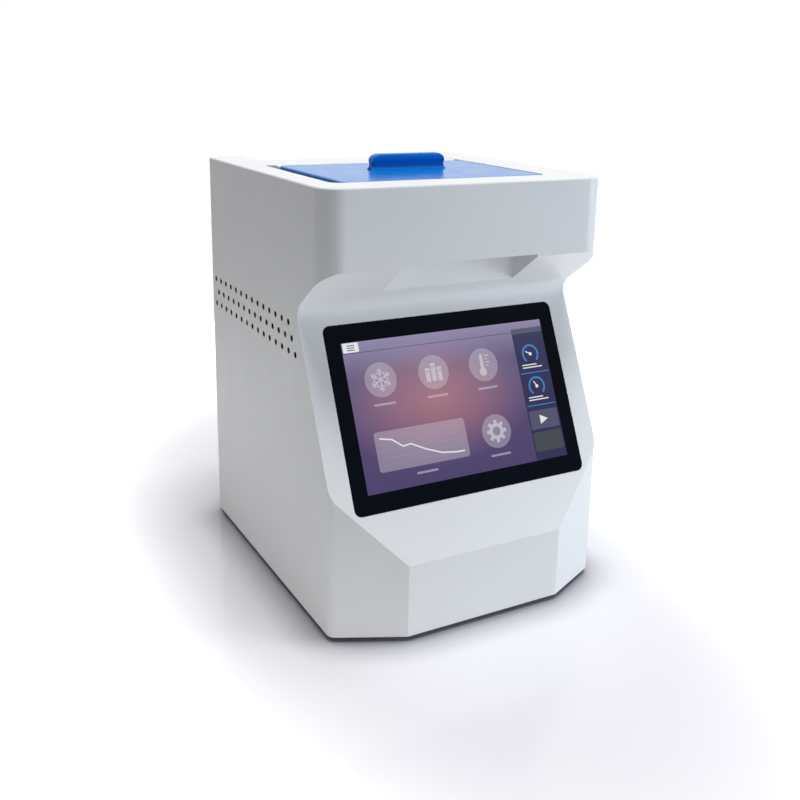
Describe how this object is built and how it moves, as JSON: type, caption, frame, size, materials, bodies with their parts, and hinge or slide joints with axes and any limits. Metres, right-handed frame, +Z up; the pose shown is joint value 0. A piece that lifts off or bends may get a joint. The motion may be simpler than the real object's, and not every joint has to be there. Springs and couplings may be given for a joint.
{
  "type": "controlled-rate freezer",
  "caption": "Benchtop controlled-rate freezer: faceted white casing, slanted touch screen, hinged blue lid over a cold sample chamber, cryocooler, fan and mains inlet inside.",
  "frame": {"origin": "on the floor under the middle of the casing", "axes": "+X across the front to the right, +Y to the back, +Z up"},
  "size_m": [0.29, 0.339, 0.417],
  "materials": {
    "casing": "satin moulded white with a fine texture",
    "painted_sheet": "powder-coated sheet",
    "bare_sheet": "zinc-plated sheet",
    "rubber": "matt black rubber",
    "fastener": "stainless steel",
    "hinge_steel": "stainless steel",
    "black_plastic": "black moulded plastic",
    "guard_wire": "bright plated wire",
    "port_metal": "plated shell",
    "circuit_board": "green solder mask",
    "touch_glass": "black-bordered cover glass, glossy",
    "display": "display module",
    "supply_case": "folded aluminium case",
    "foam": "closed-cell insulating foam",
    "chamber_steel": "brushed stainless steel",
    "aluminium": "machined aluminium",
    "copper": "bare copper",
    "lid_blue": "satin mid-blue moulded plastic",
    "handle_blue": "satin deep-blue moulded plastic",
    "lid_white": "white moulded plastic"
  },
  "bodies": {
    "casing": {"housing_shell": "casing", "rear_panel": "painted_sheet", "base_plate": "painted_sheet", "chassis_frame": "bare_sheet", "cooler_shelf": "bare_sheet", "display_bracket": "bare_sheet", "rubber_feet": "rubber", "vibration_mounts": "rubber", "foot_screws": "fastener", "base_screws": "fastener", "rear_panel_screws": "fastener", "fan_screws": "fastener", "hinge_brackets": "hinge_steel", "hinge_pins": "hinge_steel", "fan_frame": "black_plastic", "air_duct": "black_plastic", "power_inlet": "black_plastic", "switch_frame": "black_plastic", "fan_guard": "guard_wire", "network_port": "port_metal", "usb_port": "port_metal", "port_board": "circuit_board", "controller_board": "circuit_board", "driver_board": "circuit_board", "touch_glass": "touch_glass", "display_panel": "display", "power_supply": "supply_case", "chamber_insulation": "foam", "chamber_liner": "chamber_steel", "cold_finger": "chamber_steel", "cooler_body": "chamber_steel", "vibration_absorber": "chamber_steel", "cold_plate": "aluminium", "sample_plate": "aluminium", "heat_sink_fins": "aluminium", "cooler_mount_plate": "aluminium", "cold_link": "copper"},
    "lid": {"lid_cover": "lid_blue", "lid_handle": "handle_blue", "lid_screws": "fastener", "lid_liner": "lid_white", "lid_insulation": "foam", "lid_seal": "rubber", "hinge_leaves": "hinge_steel"},
    "fan_rotor": {"fan_rotor": "black_plastic"},
    "power_rocker": {"switch_rocker": "black_plastic"},
    "fuse_drawer": {"fuse_drawer": "black_plastic"}
  },
  "joints": [
    {"name": "lid_hinge", "type": "hinge", "parent": "casing", "child": "lid", "pos_m": [0, 0.0715, 0.393], "axis": [-1, 0, 0], "range_deg": [0, 100]},
    {"name": "fan_spin", "type": "hinge", "parent": "casing", "child": "fan_rotor", "pos_m": [0, 0.15, 0.201], "axis": [0, 1, 0], "continuous": true},
    {"name": "power_switch", "type": "hinge", "parent": "casing", "child": "power_rocker", "pos_m": [0.104, 0.1629, 0.098], "axis": [-1, 0, 0], "range_deg": [0, 14]},
    {"name": "fuse_drawer_slide", "type": "slide", "parent": "casing", "child": "fuse_drawer", "axis": [0, 1, 0], "range_m": [0, 0.015]}
  ]
}
